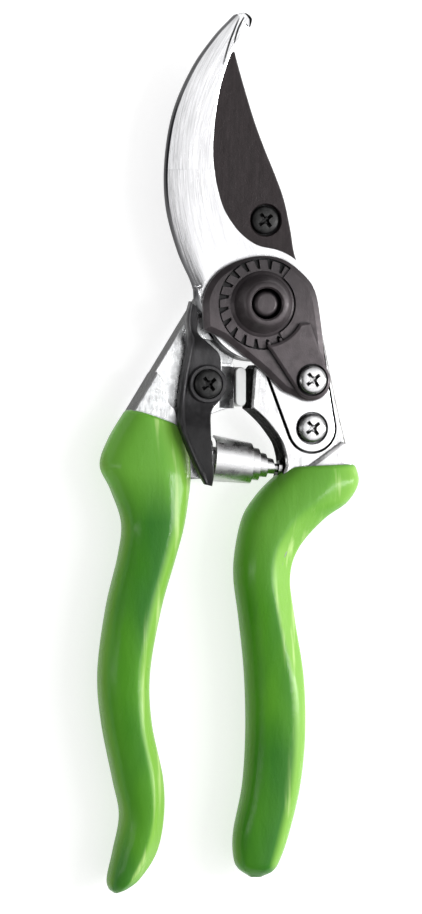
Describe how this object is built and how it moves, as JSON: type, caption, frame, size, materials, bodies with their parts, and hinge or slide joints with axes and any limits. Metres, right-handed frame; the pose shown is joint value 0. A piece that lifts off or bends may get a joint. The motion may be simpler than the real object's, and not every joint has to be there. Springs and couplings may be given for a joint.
{
  "type": "bypass pruning shears",
  "caption": "One-hand bypass pruning shears: hooked anvil blade, curved cutting blade, toothed pivot nut with lock, thumb catch, volute spring and dipped grips.",
  "frame": {"origin": "centre of the flat outer face of the pivot bolt's head, in the plane that the shears lie on", "axes": "+Z along the pivot axis from the bolt's head towards its nut, +Y from the handles towards the tip of the blades, +X towards the handle that carries the hook"},
  "size_m": [0.0634, 0.21, 0.0204],
  "materials": {
    "forged_aluminium": "blasted and polished",
    "green_vinyl": "glossy dipped vinyl",
    "coated_steel": "dark non-stick coating",
    "black_screw": "black oxide",
    "bronze": "plain bearing bronze",
    "pale_rubber": "satin",
    "plain_steel": "bright zinc",
    "black_paint": "satin black",
    "chromed_steel": "bright, finely brushed",
    "dark_steel": "burnished dark"
  },
  "bodies": {
    "cutting_side": {"left_handle_forging": "forged_aluminium", "left_grip": "green_vinyl", "cutting_blade": "coated_steel", "blade_screw": "black_screw", "pivot_bush": "bronze", "bumper_pad": "pale_rubber", "catch_washer": "plain_steel", "catch_screw": "black_screw", "spring_peg_left": "plain_steel", "volute_spring": "plain_steel"},
    "catch_lever": {"thumb_catch": "black_paint"},
    "hook_side": {"right_handle_forging": "forged_aluminium", "right_grip": "green_vinyl", "hook_blade": "chromed_steel", "tang_screw": "chromed_steel", "pivot_bolt": "dark_steel", "back_washer": "plain_steel", "pivot_nut": "dark_steel", "nut_cover": "dark_steel", "lock_segment": "dark_steel", "segment_screw": "chromed_steel", "spring_peg_right": "plain_steel"}
  },
  "joints": [
    {"name": "handle_open", "type": "hinge", "parent": "cutting_side", "child": "hook_side", "pos_m": [0, 0, 0.0098], "axis": [0, 0, 1], "range_deg": [0, 30], "deforming": ["volute_spring"]},
    {"name": "catch_swing", "type": "hinge", "parent": "cutting_side", "child": "catch_lever", "pos_m": [-0.013, -0.0191, 0.012], "axis": [0, 0, 1], "range_deg": [0, 12]}
  ]
}
